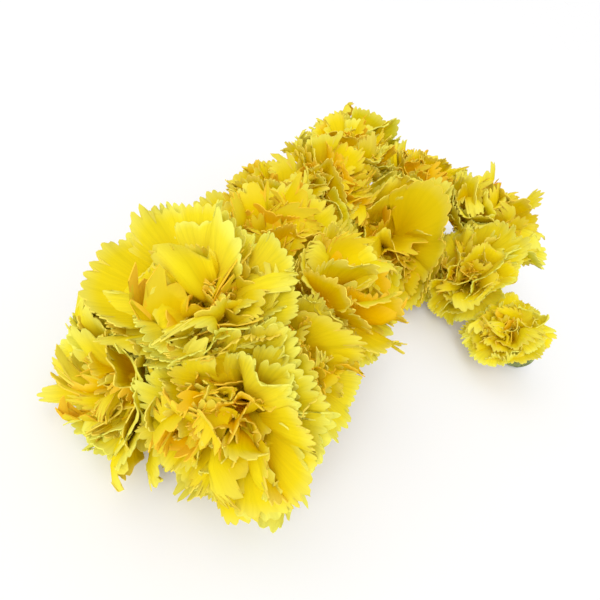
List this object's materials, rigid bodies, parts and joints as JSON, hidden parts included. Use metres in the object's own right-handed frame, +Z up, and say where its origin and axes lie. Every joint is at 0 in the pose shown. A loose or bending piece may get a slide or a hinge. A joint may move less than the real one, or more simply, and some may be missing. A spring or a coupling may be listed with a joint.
{
  "type": "carnation wreath",
  "caption": "Open arc-shaped wreath of double yellow carnations, with their cut stems pushed into a moss core that is bound with tape on a bent wire.",
  "frame": {"origin": "on the surface that the wreath lies on, under the middle of its bounding box", "axes": "+Z up from the surface, +X along the longest side, from the large flowers at one end of the arc towards the small ones; the arc opens towards -Y"},
  "size_m": [0.3072, 0.2184, 0.0885],
  "materials": {
    "yellow_petals": "matte",
    "green_calyx": "satin",
    "moss": "rough",
    "floral_tape": "matte",
    "steel_wire": "satin"
  },
  "bodies": {
    "root": {"core_wire": "steel_wire", "moss_core": "moss", "tape_band_01": "floral_tape", "tape_band_02": "floral_tape", "tape_band_03": "floral_tape", "tape_band_04": "floral_tape", "tape_band_05": "floral_tape", "tape_band_06": "floral_tape", "calyx_01": "green_calyx", "bloom_01": "yellow_petals", "calyx_02": "green_calyx", "bloom_02": "yellow_petals", "calyx_03": "green_calyx", "bloom_03": "yellow_petals", "calyx_04": "green_calyx", "bloom_04": "yellow_petals", "calyx_05": "green_calyx", "bloom_05": "yellow_petals", "calyx_06": "green_calyx", "bloom_06": "yellow_petals", "calyx_07": "green_calyx", "bloom_07": "yellow_petals", "calyx_08": "green_calyx", "bloom_08": "yellow_petals", "calyx_09": "green_calyx", "bloom_09": "yellow_petals", "calyx_10": "green_calyx", "bloom_10": "yellow_petals", "calyx_11": "green_calyx", "bloom_11": "yellow_petals", "calyx_12": "green_calyx", "bloom_12": "yellow_petals", "calyx_13": "green_calyx", "bloom_13": "yellow_petals", "calyx_14": "green_calyx", "bloom_14": "yellow_petals", "calyx_15": "green_calyx", "bloom_15": "yellow_petals"}
  },
  "joints": []
}
